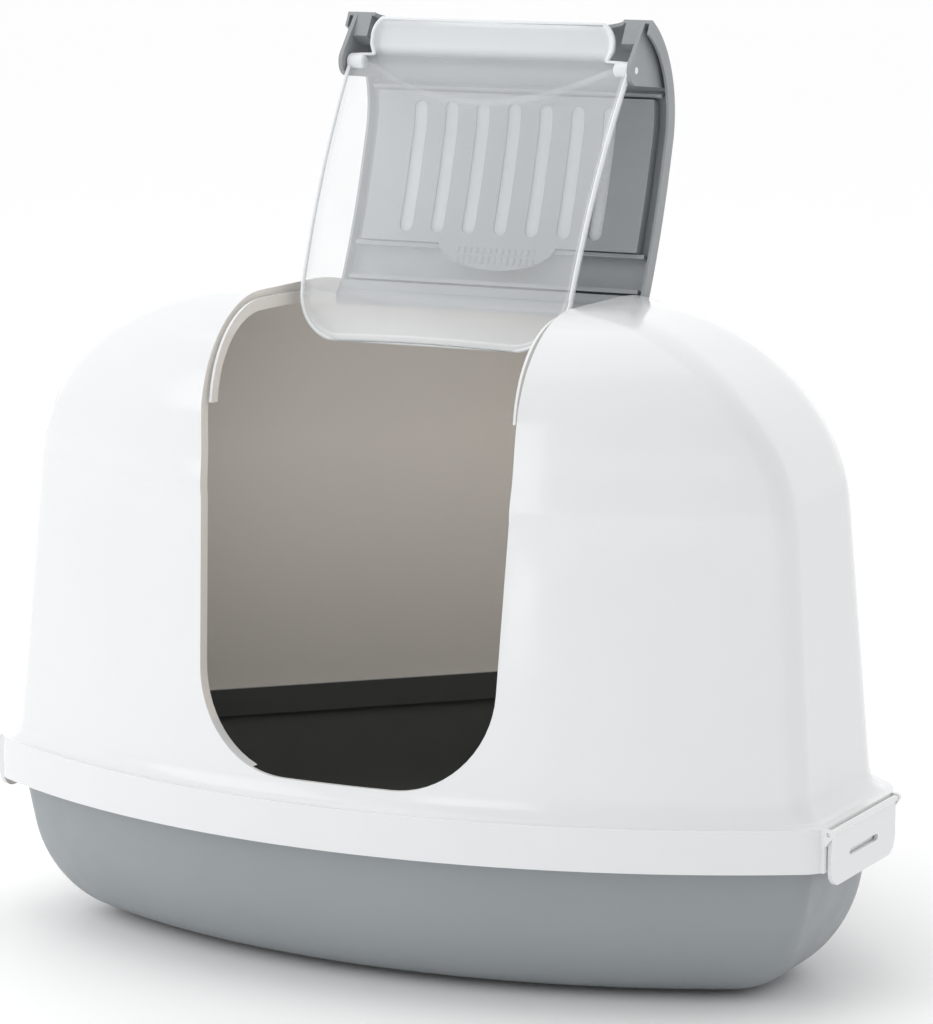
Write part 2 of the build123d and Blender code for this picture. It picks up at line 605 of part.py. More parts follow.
# ---------------------------------------------------------------- feet
def foot(place, side):
    with BuildPart() as pad:
        with BuildSketch():
            with Locations((side * place[0], FRONT_Y + place[1])):
                RectangleRounded(FOOT_LENGTH, FOOT_WIDTH, FOOT_CORNER, rotation=side * place[2])
        extrude(amount=FOOT_HEIGHT)
    return pad.part


feet = {}
for end, place in (("front", FRONT_FOOT), ("rear", REAR_FOOT)):
    for word, side in (("left", -1), ("right", 1)):
        name = f"foot_{end}_{word}"
        feet[name] = foot(place, side)
        feet[name].label = name

# ---------------------------------------------------------------- files
export_step(base_tray.part, "parts/base_tray.step")
export_step(hood.part, "parts/hood.step")
export_step(lid.part, "parts/lid.step")
export_step(flap.part, "parts/flap.step")
export_step(filter_cover.part, "parts/filter_cover.step")
export_step(carbon_filter.part, "parts/carbon_filter.step")
export_step(clip_left, "parts/clip_left.step")
export_step(clip_right, "parts/clip_right.step")
for name, pad in feet.items():
    export_step(pad, f"parts/{name}.step")
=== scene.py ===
# %% [markdown]
# # A corner cat litter box with a hood
#
# This notebook dresses a finished CAD model. The CAD gives every piece its place: a deep grey
# tray, a glossy white hood with a wide gutter round its foot, a grey lid that tips back and a
# see-through swing flap. All lengths are metres, +Z is up and -Y is the front.

# %% Load the frame
import json
import math

import bpy
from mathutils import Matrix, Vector


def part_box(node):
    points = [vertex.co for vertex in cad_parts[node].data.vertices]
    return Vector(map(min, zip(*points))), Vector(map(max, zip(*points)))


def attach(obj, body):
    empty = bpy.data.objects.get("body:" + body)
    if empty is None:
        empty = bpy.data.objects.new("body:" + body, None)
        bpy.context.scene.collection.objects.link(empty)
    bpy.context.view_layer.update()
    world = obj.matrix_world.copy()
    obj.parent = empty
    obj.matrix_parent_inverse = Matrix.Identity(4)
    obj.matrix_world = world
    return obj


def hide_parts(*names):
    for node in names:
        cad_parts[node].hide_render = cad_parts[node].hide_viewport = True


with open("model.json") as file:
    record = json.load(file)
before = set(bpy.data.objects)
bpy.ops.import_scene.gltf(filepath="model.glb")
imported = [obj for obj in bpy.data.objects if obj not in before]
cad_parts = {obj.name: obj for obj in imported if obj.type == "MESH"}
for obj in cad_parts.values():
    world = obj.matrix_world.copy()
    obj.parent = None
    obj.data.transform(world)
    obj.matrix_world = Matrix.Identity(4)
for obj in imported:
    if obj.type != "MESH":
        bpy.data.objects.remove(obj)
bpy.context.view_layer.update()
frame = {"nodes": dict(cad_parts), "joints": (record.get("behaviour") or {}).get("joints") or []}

MM = 0.001
print("pieces in the frame:", sorted(frame["nodes"]))

# %% [markdown]
# ## Shader maths as plain expressions
#
# Blender's shader nodes can be wired by hand, but a formula is easier to read than a page of
# links. `Wire` wraps one socket, and adding or multiplying two wires adds the Math node for it.
# `Finish` is one material on the bench: its `node` method makes any other node.

# %% The wire and the finish
NOISE_SPAN = (0.3, 0.7)    # where most values of a noise lie


class Wire:
    """One number in a material that changes over the surface."""

    def __init__(self, finish, socket):
        self.finish = finish
        self.socket = socket

    def math(self, operation, first, second):
        return self.finish.node("ShaderNodeMath", {"operation": operation}, {0: first, 1: second})

    def __add__(self, other):
        return self.math("ADD", self, other)

    def __sub__(self, other):
        return self.math("SUBTRACT", self, other)

    def __mul__(self, other):
        return self.math("MULTIPLY", self, other)

    def __rsub__(self, other):
        return self.math("SUBTRACT", other, self)

    __radd__ = __add__
    __rmul__ = __mul__


class Finish:
    """A material with a Principled shader, and short ways to wire it."""

    def __init__(self, name, colour, roughness, **constants):
        self.material = bpy.data.materials.new(name)
        self.material.use_nodes = True
        self.tree = self.material.node_tree
        self.shader = self.tree.nodes["Principled BSDF"]
        self.set("Base Color", (*colour, 1.0))
        self.set("Roughness", roughness)
        for words, value in constants.items():
            self.set(words.replace("_", " "), value)

    def set(self, name, value):
        """Gives one of the shader's sockets a constant or a wire."""
        self.feed(self.shader.inputs[name], value)

    def feed(self, socket, value):
        if isinstance(value, Wire):
            self.tree.links.new(value.socket, socket)
        else:
            socket.default_value = value

    def node(self, kind, settings, values, output=0):
        """Any node: its settings come first, then the values or wires of its sockets."""
        made = self.tree.nodes.new(kind)
        for name, value in settings.items():
            setattr(made, name, value)
        for name, value in values.items():
            self.feed(made.inputs[name], value)
        return Wire(self, made.outputs[output])

    def place(self):
        """Where a point of the piece is, in metres."""
        return self.node("ShaderNodeTexCoord", {}, {}, "Object")

    def noise(self, size, detail=3.0, rough=0.5):
        """Random clouds, about `size` metres across, from 0 to 1."""
        values = {"Vector": self.place(), "Scale": 1 / size, "Detail": detail, "Roughness": rough}
        return self.node("ShaderNodeTexNoise", {}, values)

    def inward(self):
        """1 on faces that look towards the origin, 0 on those that look away from it."""
        normal = self.node("ShaderNodeNewGeometry", {}, {}, "Normal")
        values = {0: self.place(), 1: normal}
        away = self.node("ShaderNodeVectorMath", {"operation": "DOT_PRODUCT"}, values, "Value")
        # this mask places the painted light and shade of the insides
        return self.step(away, 0.0, 0.02, 1.0, 0.0)

    def step(self, wire, low, high, to_low=0.0, to_high=1.0):
        """Smooth change from to_low to to_high while wire goes from low to high."""
        values = {"Value": wire, "From Min": low, "From Max": high, "To Min": to_low, "To Max": to_high}
        return self.node("ShaderNodeMapRange", {"interpolation_type": "SMOOTHSTEP"}, values)

    def uneven(self, size, detail, low, high, rough=0.5):
        """Random clouds that wander between low and high."""
        return self.step(self.noise(size, detail, rough), *NOISE_SPAN, low, high)

    def blend(self, share, one, other):
        """Mix of two colours; share 0 gives one, share 1 gives other."""
        made = self.tree.nodes.new("ShaderNodeMix")
        made.data_type = "RGBA"
        self.feed(made.inputs["Factor"], share)
        for socket, colour in ((made.inputs[6], one), (made.inputs[7], other)):
            self.feed(socket, colour if isinstance(colour, Wire) else (*colour, 1.0))
        return Wire(self, made.outputs[2])

    def bump(self, height, depth, strength=1.0):
        """Small relief of the given depth in metres."""
        values = {"Height": height, "Distance": depth, "Strength": strength}
        self.set("Normal", self.node("ShaderNodeBump", {}, values))


print("shader helpers ready")

# %% [markdown]
# ## The plastics
#
# Everything here is injection moulded. The hood comes from a polished mould, so it is glossy
# with a hint of long, soft waviness. The tray and the lid come from a fine-grained mould, which
# breaks reflections into a satin sheen. The grain is less than a millimetre across, with a
# coarser one over it. Faces that look inwards are painted: on the white plastic a warmer,
# brighter white is painted light, for light bounced inside the hood, and in the tray a much
# darker grey is painted shade. Both are set to give the deep inside of the box its tone.

# %% Polished white
HOOD_INSIDE_PAINTED_LIGHT = (0.93, 0.885, 0.83)   # painted light: a warmer, brighter white for light bounced inside the hood


def polished_white(name):
    """Glossy white plastic of the hood and its clips."""
    finish = Finish(name, (0.86, 0.87, 0.88), 0.16, Coat_Roughness=0.06, IOR=1.5)
    clouds = finish.noise(0.09, 2.0)
    outside = finish.blend(clouds, (0.755, 0.77, 0.78), (0.79, 0.80, 0.81))
    # faces that look inwards take the painted light of the hood's inside
    finish.set("Base Color", finish.blend(finish.inward(), outside, HOOD_INSIDE_PAINTED_LIGHT))
    finish.set("Roughness", finish.uneven(0.035, 4.0, 0.13, 0.2))
    finish.set("Coat Weight", 0.25)
    finish.bump(finish.noise(0.022, 1.0) * 0.7 + finish.noise(0.0012, 1.0) * 0.04, 0.00012, 0.5)
    return finish.material


white_plastic = polished_white("polished_white_plastic")
print("made", white_plastic.name)

# %% Satin grey
def satin_grey(name, colour, darker, inside=None, grain=0.0007):
    """Fine-grained grey plastic, a little uneven in colour and sheen."""
    finish = Finish(name, colour, 0.42, IOR=1.48)
    clouds = finish.noise(0.06, 3.0)
    outside = finish.blend(clouds, darker, colour)
    # faces that look inwards take `inside` where it is given: painted shade in the tray
    finish.set("Base Color", finish.blend(finish.inward(), outside, inside) if inside else outside)
    finish.set("Roughness", finish.uneven(0.02, 5.0, 0.36, 0.48, rough=0.6))
    finish.bump(finish.noise(grain, 2.0) + finish.noise(grain * 4, 2.0) * 0.5, 0.00005, 0.6)
    return finish.material


TRAY_INSIDE_PAINTED_SHADE = (0.085, 0.09, 0.088)    # painted shade: a much darker grey for the tray's deep inside
tray_plastic = satin_grey("satin_tray_plastic", (0.31, 0.335, 0.35), (0.285, 0.31, 0.325),
                          inside=TRAY_INSIDE_PAINTED_SHADE)
lid_plastic = satin_grey("satin_lid_plastic", (0.31, 0.33, 0.34), (0.285, 0.305, 0.315))
cover_plastic = satin_grey("satin_cover_plastic", (0.30, 0.32, 0.33), (0.28, 0.30, 0.31))
print("made", tray_plastic.name, lid_plastic.name, cover_plastic.name)

# %% [markdown]
# ## The clear flap
#
# The flap is clear plastic with a milky cast. A true refracting shader would need many light
# bounces through a thin shell. A simple see-through share is steadier: low where one looks
# straight through, higher at glancing angles, which draws the bright edges by itself.

# %% Milky clear plastic
FLAP_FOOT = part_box("flap")[0].z
FOOT_BAND = 35 * MM       # the extra milk at the bottom edge fades out over this height
FOOT_MILK = 0.25
GRIP_START = 0.534        # height over the floor where the grip begins to turn milky
GRIP_EASE = 8 * MM
GRIP_MILK = 0.42


def milky_clear(name, through, edge, grip_foot=None):
    """See-through plastic; `through` is its cover seen head on and `edge` seen side on.

    Where grip_foot is given, it turns milkier above that height and along the flap's bottom edge.
    """
    finish = Finish(name, (0.90, 0.925, 0.94), 0.12, IOR=1.45)
    glance = finish.node("ShaderNodeLayerWeight", {}, {"Blend": 0.35}, "Facing")
    haze = finish.uneven(0.05, 2.0, -0.008, 0.008)
    cover = finish.step(glance, 0.05, 0.9, through, edge) + haze
    if grip_foot:
        height = finish.node("ShaderNodeSeparateXYZ", {}, {"Vector": finish.place()}, "Z")
        cover = cover + finish.step(height, grip_foot, grip_foot + GRIP_EASE, 0.0, GRIP_MILK)
        cover = cover + finish.step(height, FLAP_FOOT, FLAP_FOOT + FOOT_BAND, FOOT_MILK, 0.0)
    finish.set("Alpha", cover)
    finish.set("Roughness", finish.uneven(0.03, 3.0, 0.1, 0.2))
    finish.bump(finish.noise(0.05, 1.0), 0.00015, 0.25)
    return finish.material


flap_plastic = milky_clear("milky_flap_plastic", 0.22, 0.8, grip_foot=GRIP_START)
# far less see-through: on the bead it paints the glow of the flap's edge; the pivots use it too
pivot_and_rim_glow_plastic = milky_clear("milky_pivot_and_painted_rim_glow", 0.85, 1.0)
print("made", flap_plastic.name, pivot_and_rim_glow_plastic.name)

# %% [markdown]
# ## Fleece and rubber
#
# Behind the slots of the cassette lies a filter pad faced with pale fleece: short fibres in all
# directions, so no sheen and a fine, uneven relief. The feet are soft dark rubber.

# %% Fleece and rubber
def pale_fleece(name):
    finish = Finish(name, (0.62, 0.64, 0.65), 0.92)
    fibres = finish.noise(0.0016, 6.0, 0.75)
    finish.set("Base Color", finish.blend(fibres, (0.48, 0.50, 0.52), (0.74, 0.76, 0.77)))
    finish.bump(fibres + finish.noise(0.006, 3.0) * 0.6, 0.0006, 0.8)
    return finish.material


def dark_rubber(name):
    finish = Finish(name, (0.06, 0.06, 0.065), 0.75)
    finish.set("Roughness", finish.uneven(0.008, 4.0, 0.65, 0.85))
    finish.bump(finish.noise(0.0009, 2.0), 0.00008, 0.7)
    return finish.material


fleece = pale_fleece("pale_filter_fleece")
rubber = dark_rubber("dark_foot_rubber")
print("made", fleece.name, rubber.name)

# %% [markdown]
# ## Dressing the CAD pieces
#
# The moulded shells come straight from the CAD: their walls, gutters and hinges are the real
# geometry. All they need here is a finish, and softer seams in the step after this one.

# %% Give each CAD piece its finish
cad_finish = {
    "base_tray": tray_plastic,
    "hood": white_plastic,
    "lid": lid_plastic,
    "filter_cover": cover_plastic,
    "carbon_filter": fleece,
    "clip_left": white_plastic,
    "clip_right": white_plastic,
    "flap": flap_plastic,
}


def dress(piece, material):
    """One finish all over a piece."""
    piece.data.materials.clear()
    piece.data.materials.append(material)
    return piece


for node_name, piece in frame["nodes"].items():
    dress(piece, cad_finish.get(node_name, rubber))
print("dressed", len(frame["nodes"]), "CAD pieces")

# %% [markdown]
# ## Seams between almost flush faces
#
# Where a wall runs on into its rounding, the CAD has two faces that meet nearly flush. Each was
# shaded by itself, which draws a line on glossy plastic. Sharing one normal along the seam makes
# it much fainter, though a trace stays. No point of the mesh moves, and true edges stay crisp.

# %% Share the normals along flush seams
SAME_SPOT = 0.05 * MM      # places are rounded to this, and equal ones count as one point
FLUSH = 16.0               # degrees


def soften_seams(piece, widest):
    """Averages the normals that meet at a point and differ by less than `widest` degrees."""
    mesh = piece.data
    normals = [Vector(corner.vector) for corner in mesh.corner_normals]
    spots = {}
    for loop in mesh.loops:
        spot = tuple(round(value / SAME_SPOT) for value in mesh.vertices[loop.vertex_index].co)
        spots.setdefault(spot, []).append(loop.index)
    limit = math.cos(math.radians(widest))
    shared = [None] * len(normals)
    for corners in spots.values():
        for one in corners:
            flush = [normals[other] for other in corners if normals[other].dot(normals[one]) > limit]
            shared[one] = sum(flush, Vector()).normalized()
    mesh.normals_split_custom_set(shared)
    return len(spots)


for node_name in ("hood", "base_tray", "lid"):
    print(node_name, "points with shared normals:", soften_seams(frame["nodes"][node_name], FLUSH))

# %% [markdown]
# ## The flap's shell
#
# The flap is a dished sheet: it bows out between its sides, and its edge is folded up into a
# narrow lip all round. The CAD keeps it as a plain sheet. Here it is drawn again as a fine
# grid, so that the lip, the step of the hand grip and the soft corners are real geometry that
# catches the light.

# %% Where the flap hangs
joints = {joint["name"]: joint for joint in frame["joints"]}
pivot = Vector(joints["flap_swing"]["pos_m"])
LEAN = math.radians(244.0)                             # the flap's line, turned from +Y
down = Vector((0, math.cos(LEAN), math.sin(LEAN)))     # along the flap, away from the pivot
out = Vector((0, down.z, -down.y))                     # off the flap's outer face
across = Vector((1, 0, 0))
PIN_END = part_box("flap")[1].x
FLAP_HALF = 95.3 * MM     # half width at the pivot
FOOT_HALF = 90.0 * MM     # half width at the foot, before its corners are rounded
REACH = 183.0 * MM        # pivot to foot
CORNER = 34.0 * MM
GRIP_HALF = 80.0 * MM
GRIP_TOP = 27.0 * MM      # the grip's rise over the pivot
GRIP_CORNER = 12.0 * MM
RISE = 8.3 * MM           # how far the sides stand out, halfway from the pivot to the foot
CROWN = 0.8 * MM          # rise of the middle over the sides, at the pivot
BULGE = 12.0 * MM         # extra rise of the middle, at the foot
CURL = 6.5 * MM           # how far the grip bends out
SHEET = 1.7 * MM          # thickness
print("the flap's pivot is at", [round(v, 4) for v in pivot])

# %% [markdown]
# ## The flap's outline and dish
#
# Two functions hold most of the shape. `half_width` gives the flap's width at any distance from
# its pivot. `dish` says how far its face stands out there, with a shallow scoop for the fingers.

# %% The flap's outline and dish
GRIP_FOOT = 4 * MM        # height over the pivot where the narrower grip begins
GRIP_FLARE = 2.5 * MM     # the grip widens again by this much on each side,
FLARE_END = 12 * MM       # up to this height
SCOOP = 1.1 * MM          # depth of the finger scoop
SCOOP_MIDDLE = 26 * MM    # how far below the pivot it reaches in the middle,
SCOOP_SIDES = 30 * MM     # and how much less far at SCOOP_HALF to each side
SCOOP_HALF = 88 * MM
SCOOP_EDGE = 3 * MM       # half the height of its soft lower edge
SCOOP_MARGIN = 6 * MM     # it fades out this close to the flap's sides


def smooth(value, low, high):
    """0 below low, 1 above high, and an even ease between."""
    t = min(max((value - low) / (high - low), 0.0), 1.0)
    return t * t * (3 - 2 * t)


def half_width(reach):
    """Half the flap's width at a distance below the pivot, or above it where negative."""
    if reach < -GRIP_FOOT:
        half = GRIP_HALF + GRIP_FLARE * smooth(-reach, GRIP_FOOT, FLARE_END)
        over = -reach - (GRIP_TOP - GRIP_CORNER)
        radius = GRIP_CORNER
    else:
        half = FLAP_HALF + (FOOT_HALF - FLAP_HALF) * max(reach, 0) / REACH
        over = reach - (REACH - CORNER)
        radius = CORNER
    if over > 0:
        half -= radius - math.sqrt(max(radius * radius - over * over, 0.0))
    return half


def edge_distance(side, reach):
    """How far a point of the flap is from its outline, roughly."""
    from_side = half_width(reach) - abs(side)
    from_foot = REACH - reach
    from_top = GRIP_TOP + reach
    corner_x = abs(side) - (FOOT_HALF - CORNER)
    corner_y = reach - (REACH - CORNER)
    if corner_x > 0 and corner_y > 0:
        return CORNER - math.hypot(corner_x, corner_y)
    return min(from_side, from_foot, from_top)


def dish(side, reach):
    """Height of the flap's outer face over the plane through its pivot."""
    share = max(reach, 0.0) / REACH
    curl = min(reach, 0.0) / GRIP_TOP
    bow = 1 - (side / FLAP_HALF) ** 2
    height = 4 * RISE * share * (1 - share) + CURL * curl * curl + bow * (CROWN + BULGE * share)
    line = SCOOP_MIDDLE - SCOOP_SIDES * (side / SCOOP_HALF) ** 2
    scoop = 1 - smooth(reach, line - SCOOP_EDGE, line + SCOOP_EDGE)
    return height - SCOOP * scoop * smooth(half_width(reach) - abs(side), 0, SCOOP_MARGIN)


print("flap half width at the pivot:", round(half_width(0.0), 4))

# %% [markdown]
# ## The sheet itself
#
# The grid has an outer and an inner face and a strip between them, so it is a closed body with
# a real thickness. Its rows crowd together near both ends, where the outline turns quickly.

# %% Build the flap's sheet
ROWS, COLUMNS = 132, 104
CROWDING = 0.09           # how much the rows crowd towards both ends
SHORT = 0.02 * MM         # the sheet stops this short of both ends of its outline
SIDE_CROWDING = 0.35      # share of the columns' spacing that crowds towards the sides
LIP_RISE = 1.6 * MM       # height of the lip, which falls away between
LIP_BAND = (2.2 * MM, 5.0 * MM)    # these distances from the outline
EDGE_ROUND = 0.6 * MM     # how far the outermost edge is rounded down,
EDGE_BAND = 0.8 * MM      # over this width


def flap_rows():
    """Distances of the rows of points, closer together near both ends."""
    rows = []
    for index in range(ROWS + 1):
        t = index / ROWS
        eased = t - CROWDING * math.sin(2 * math.pi * t)
        rows.append(-GRIP_TOP + SHORT + (GRIP_TOP + REACH - 2 * SHORT) * eased)
    return rows


def flap_point(side, reach, under):
    """A point on the outer face, or `under` below it."""
    lip = LIP_RISE * (1 - smooth(edge_distance(side, reach), *LIP_BAND))
    round_off = EDGE_ROUND * (1 - smooth(edge_distance(side, reach), 0, EDGE_BAND))
    height = dish(side, reach) + lip - round_off - under
    return pivot + across * side + down * reach + out * height


def mesh_from(name, points, faces):
    """A mesh from its points and faces, with faulty faces taken out."""
    mesh = bpy.data.meshes.new(name)
    mesh.from_pydata(points, [], faces)
    mesh.validate()
    return mesh


def sheet_mesh(name, rows, point, columns, thickness):
    """Closed sheet through a grid of points: outer face, inner face and the edge between."""
    points, faces = [], []
    wide = columns + 1
    for under in (0.0, thickness):
        for reach in rows:
            for index in range(wide):
                even = 2 * index / columns - 1
                crowded = -math.cos(math.pi * index / columns)
                t = crowded * SIDE_CROWDING + even * (1 - SIDE_CROWDING)
                points.append(point(t, reach, under))
    layer = wide * len(rows)
    for row in range(len(rows) - 1):
        for column in range(columns):
            corner = row * wide + column
            quad = (corner, corner + 1, corner + wide + 1, corner + wide)
            faces.append(quad)
            faces.append(tuple(layer + v for v in reversed(quad)))
    loop = list(range(wide)) + [wide * (r + 1) - 1 for r in range(1, len(rows))]
    loop += [layer - 1 - c for c in range(1, wide)] + [wide * r for r in range(len(rows) - 2, 0, -1)]
    for one, other in zip(loop, loop[1:] + loop[:1]):
        faces.append((one, layer + one, layer + other, other))
    return mesh_from(name, points, faces)


def piece_from(mesh, material, body):
    """Puts a finished mesh in the scene, on its body."""
    piece = bpy.data.objects.new(mesh.name, mesh)
    bpy.context.scene.collection.objects.link(piece)
    mesh.shade_smooth()
    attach(piece, body)
    return dress(piece, material)


def flap_grid_point(t, reach, under):
    return flap_point(t * half_width(reach), reach, under)


flap_sheet = piece_from(sheet_mesh("flap_sheet", flap_rows(), flap_grid_point, COLUMNS, SHEET),
                        flap_plastic, "flap")
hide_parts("flap")
print("flap sheet:", len(flap_sheet.data.polygons), "faces")

# %% [markdown]
# ## The flap's bright rim and its pivots
#
# Light runs inside clear plastic and comes out at its edges, so the rim of the real flap glows
# white. A thin bead round the outline paints that glow on: its milkier finish is far less
# see-through than the sheet, so it shows as a bright white line. The two pivots are short
# barrels with a pin, in the same finish.

# %% Bead round the flap
def outline_points(inset, steps=260):
    """Points round the flap's outline, moved in a little."""
    length = GRIP_TOP + REACH - 2 * inset
    rows = [-GRIP_TOP + inset + length * (0.5 - 0.5 * math.cos(math.pi * step / steps))
            for step in range(steps + 1)]
    right = [(half_width(r) - inset, r) for r in rows]
    left = [(-side, reach) for side, reach in reversed(right)]
    return right + left


def bead(name, path, radius):
    """Round bar that follows a closed path of points."""
    curve = bpy.data.curves.new(name, "CURVE")
    curve.dimensions = "3D"
    curve.bevel_depth = radius
    curve.bevel_resolution = 3
    spline = curve.splines.new("POLY")
    spline.points.add(len(path) - 1)
    for place, point in zip(spline.points, path):
        place.co = (*point, 1)
    spline.use_cyclic_u = True
    holder = bpy.data.objects.new(name + "_curve", curve)
    mesh = bpy.data.meshes.new_from_object(holder)
    mesh.name = name
    bpy.data.objects.remove(holder)
    return mesh


RIM = 1.25 * MM           # radius of the bead
RIM_INSET = 1.2 * MM      # its centre lies this far inside the outline
RIM_UNDER = 0.4 * MM      # and this far below the outer face
# the bead paints the white glow where light leaves the flap's edge
rim_path = [flap_point(side, reach, RIM_UNDER) for side, reach in outline_points(RIM_INSET)]
flap_rim = piece_from(bead("flap_rim", rim_path, RIM), pivot_and_rim_glow_plastic, "flap")
print("bead points:", len(rim_path), "faces:", len(flap_rim.data.polygons))

# %% Pivots of the flap
BARREL = 4.4 * MM         # radii of the barrel and its pin
PIN = 2.5 * MM
BARREL_INNER = 84.5 * MM  # the barrel's inner end, from the middle of the flap
INNER_BEVEL = (0.8 * MM, 1 * MM)    # along the barrel and off its radius
OUTER_BEVEL = 0.5 * MM
PIN_BEVEL = 0.4 * MM
PIN_START = 0.01 * MM     # past the barrel's end, so that the step between them is a face
TURNED_SIDES = 32


def turned(name, stations, centre):
    """Round piece about the width axis; stations are (x, radius) pairs."""
    points, faces = [], []
    for x, radius in stations:
        for step in range(TURNED_SIDES):
            angle = 2 * math.pi * step / TURNED_SIDES
            points.append((x, centre.y + radius * math.cos(angle), centre.z + radius * math.sin(angle)))
    for ring in range(len(stations) - 1):
        for step in range(TURNED_SIDES):
            after = (step + 1) % TURNED_SIDES
            low, high = ring * TURNED_SIDES, (ring + 1) * TURNED_SIDES
            faces.append((low + step, low + after, high + after, high + step))
    faces.append(tuple(reversed(range(TURNED_SIDES))))
    faces.append(tuple(range(len(points) - TURNED_SIDES, len(points))))
    return mesh_from(name, points, faces)


def flap_pivot(side, word):
    """Barrel and pin on one side of the flap; side is -1 or 1."""
    along, off = INNER_BEVEL
    profile = [(BARREL_INNER, BARREL - off), (BARREL_INNER + along, BARREL),
               (FLAP_HALF - OUTER_BEVEL, BARREL), (FLAP_HALF, BARREL - OUTER_BEVEL),
               (FLAP_HALF + PIN_START, PIN), (PIN_END - PIN_BEVEL, PIN), (PIN_END, PIN - PIN_BEVEL)]
    stations = [(side * x, radius) for x, radius in profile]
    stations = stations if side > 0 else stations[::-1]
    mesh = turned("flap_pivot_" + word, stations, pivot)
    piece = piece_from(mesh, pivot_and_rim_glow_plastic, "flap")
    piece.data.shade_flat()
    return piece


for side, word in ((-1, "left"), (1, "right")):
    flap_pivot(side, word)
print("two pivots at x = +/-", round(PIN_END, 4))

# %% [markdown]
# ## Grip ridges on the cassette's press tongue
#
# Two rows of short ridges tell the thumb where to press. They stand on the tongue at the foot
# of the filter cassette, so they follow the lid. First come the directions of the tipped lid and
# the gentle crown of its outside, because the cassette's face follows it.

# %% Directions of the tipped lid
hinge = Vector(joints["lid_hinge"]["pos_m"])
TIPPED = math.radians(106.0)                                   # from shut to tipped back
lid_back = Vector((0, math.cos(TIPPED), -math.sin(TIPPED)))    # towards the hinge and past it
lid_up = Vector((0, math.sin(TIPPED), math.cos(TIPPED)))       # off the lid's outside
CROWN_TOP = 15.0 * MM          # lid's outside over the hinge, at its highest
CROWN_RADIUS = 490.0 * MM
CROWN_AHEAD = 91.0 * MM        # the highest line, ahead of the hinge
COVER_FACE = 11.0 * MM         # lid's outside to the cassette's face


def on_cassette(x, along, proud=0.0):
    """A point on the cassette's face: `along` runs back from the hinge line, negative is ahead."""
    sag = CROWN_RADIUS - math.sqrt(CROWN_RADIUS ** 2 - (along + CROWN_AHEAD) ** 2)
    return hinge + across * x + lid_back * along + lid_up * (CROWN_TOP - sag - COVER_FACE - proud)


print("cassette's face at the hinge:", [round(v, 4) for v in on_cassette(0.0, 0.0)])

# %% [markdown]
# ## One ridge, many times
#
# A ridge is a stack of rings. Each ring is a small rounded rectangle that follows the cassette's
# face, smaller and higher than the one before, so the ridge comes out softly domed.

# %% Ridges
RIDGE_SIDES = 16
RIDGE_HALF = 1.2 * MM
RIDGE_CORNER = 0.8             # share of a ridge's half size that is rounded
RIDGE_RINGS = ((1.0, -0.2 * MM), (0.98, 0.5 * MM), (0.72, 0.85 * MM))   # size and height
RIDGE_ROWS = ((-33.0 * MM, 2.0 * MM), (-27.0 * MM, 2.6 * MM))           # place and half length
RIDGES_IN_ROW, RIDGE_PITCH = 13, 4.3 * MM


def ridge_loop(x, along, half_wide, half_long, proud):
    """Ring of points round a ridge, a rounded rectangle at one height."""
    ring = []
    corner = RIDGE_CORNER * min(half_wide, half_long)
    for step in range(RIDGE_SIDES):
        angle = 2 * math.pi * (step + 0.5) / RIDGE_SIDES
        dx = math.copysign(half_wide - corner, math.cos(angle)) + corner * math.cos(angle)
        ds = math.copysign(half_long - corner, math.sin(angle)) + corner * math.sin(angle)
        ring.append(on_cassette(x + dx, along + ds, proud))
    return ring


def grip_ridges(rows, count, pitch):
    """Rows of ridges, each a stack of rings closed at both ends."""
    points, faces = [], []
    for along, half_long in rows:
        for index in range(count):
            x = (index - (count - 1) / 2) * pitch
            first = len(points)
            for shrink, proud in RIDGE_RINGS:
                points.extend(ridge_loop(x, along, RIDGE_HALF * shrink, half_long * shrink, proud))
            for ring in range(len(RIDGE_RINGS) - 1):
                for step in range(RIDGE_SIDES):
                    low = first + ring * RIDGE_SIDES
                    high = low + RIDGE_SIDES
                    after = (step + 1) % RIDGE_SIDES
                    faces.append((low + step, low + after, high + after, high + step))
            top = len(points) - RIDGE_SIDES
            faces.append(tuple(range(top, top + RIDGE_SIDES)))
            faces.append(tuple(reversed(range(first, first + RIDGE_SIDES))))
    return mesh_from("tongue_ridges", points, faces)


ridges = piece_from(grip_ridges(RIDGE_ROWS, RIDGES_IN_ROW, RIDGE_PITCH),
                    cover_plastic, "lid")
print("ridges:", len(ridges.data.polygons), "faces")

# %% [markdown]
# ## Floor, light and camera
#
# A pale floor, a bright surround and three big soft lamps keep the highlights broad and the
# shadow under the tray soft. The surround is brighter behind and to the left, so the box has a
# light side and a dim side. A small lamp inside the hood stands in for the daylight that a thin
# white wall lets in.

# %% Floor
FLOOR_HALF = 40.0


def pale_floor(half):
    corners = [(-half, -half, 0), (half, -half, 0), (half, half, 0), (-half, half, 0)]
    floor = bpy.data.objects.new("floor", mesh_from("floor", corners, [(0, 1, 2, 3)]))
    bpy.context.scene.collection.objects.link(floor)
    floor.data.materials.append(Finish("pale_floor", (0.97, 0.97, 0.97), 0.7).material)
    return floor


print("floor:", pale_floor(FLOOR_HALF).name)

# %% Light
def soft_lamp(name, place, target, size, power):
    """Rectangular lamp that looks at target."""
    lamp = bpy.data.lights.new(name, "AREA")
    lamp.shape = "RECTANGLE"
    lamp.size, lamp.size_y = size
    lamp.energy = power
    holder = bpy.data.objects.new(name, lamp)
    holder.location = place
    holder.rotation_euler = (Vector(target) - Vector(place)).to_track_quat("-Z", "Y").to_euler()
    bpy.context.scene.collection.objects.link(holder)
    return holder


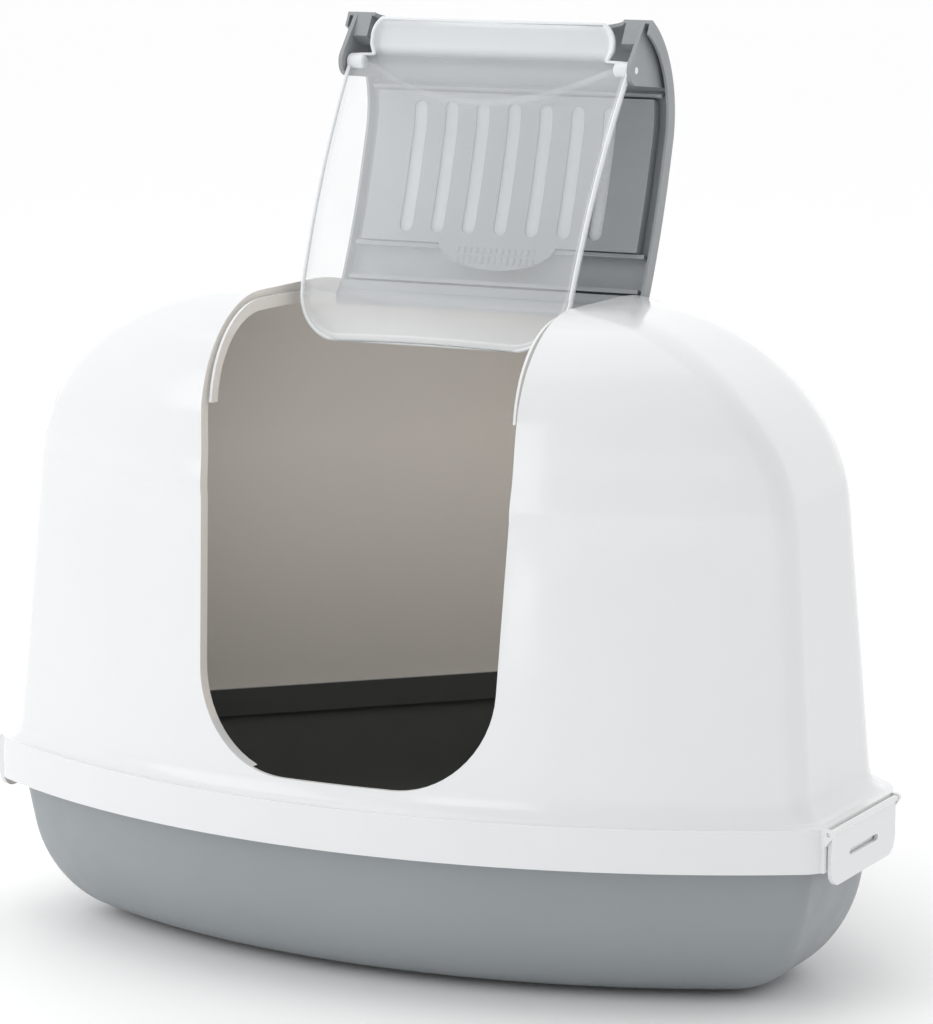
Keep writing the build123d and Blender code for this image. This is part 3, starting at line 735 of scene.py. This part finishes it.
middle = Vector((0, 0, 0.25))
big_lamps = (
    soft_lamp("top_soft", (-0.5, -0.4, 2.4), middle, (2.2, 2.2), 8),
    soft_lamp("front_left_soft", (-2.2, -2.2, 1.3), middle, (1.6, 1.8), 11),
    soft_lamp("doorway_fill", (-0.2, -2.6, 0.5), middle, (0.8, 0.8), 4),
)
through_wall = soft_lamp("through_the_walls", (0, -0.12, 0.30), (0, 0.15, 0.20), (0.12, 0.12), 0.1)
through_wall.visible_camera = False
print("lamps:", [lamp.name for lamp in (*big_lamps, through_wall)])

# %% Surround
def bright_room(bright_side, dim, bright):
    """White surround, `bright` towards bright_side and fading to `dim` on the far side."""
    world = bpy.data.worlds.new("bright_room")
    world.use_nodes = True
    tree = world.node_tree
    way = tree.nodes.new("ShaderNodeTexCoord")
    share = tree.nodes.new("ShaderNodeVectorMath")
    share.operation = "DOT_PRODUCT"
    share.inputs[1].default_value = Vector(bright_side).normalized()
    ramp = tree.nodes.new("ShaderNodeMapRange")
    for name, value in {"From Min": -0.9, "From Max": 0.75, "To Min": dim, "To Max": bright}.items():
        ramp.inputs[name].default_value = value
    tree.links.new(way.outputs["Generated"], share.inputs[0])
    tree.links.new(share.outputs["Value"], ramp.inputs["Value"])
    tree.links.new(ramp.outputs["Result"], tree.nodes["Background"].inputs["Strength"])
    tree.nodes["Background"].inputs["Color"].default_value = (1.0, 1.0, 1.0, 1.0)
    bpy.context.scene.world = world


bright_room((-0.6, 0.8, 0.3), dim=0.52, bright=1.25)
print("surround:", bpy.context.scene.world.name)

# %% Camera
AZIMUTH, ELEVATION, DISTANCE = math.radians(27.0), math.radians(11.0), 2.7
target = Vector((0, -0.0775, 0.2))
sight = Vector((math.cos(ELEVATION) * math.sin(AZIMUTH), -math.cos(ELEVATION) * math.cos(AZIMUTH),
                math.sin(ELEVATION)))
eye = bpy.data.cameras.new("camera")
eye.sensor_fit = "HORIZONTAL"
eye.sensor_width = 36.0
eye.lens = 171.3
eye.shift_x = 0.0235
eye.shift_y = 0.115
camera = bpy.data.objects.new("camera", eye)
camera.location = target + sight * DISTANCE
camera.rotation_euler = (-sight).to_track_quat("-Z", "Y").to_euler()
bpy.context.scene.collection.objects.link(camera)
bpy.context.scene.camera = camera
bpy.context.scene.view_settings.view_transform = "Standard"
print("camera at", [round(v, 3) for v in camera.location])
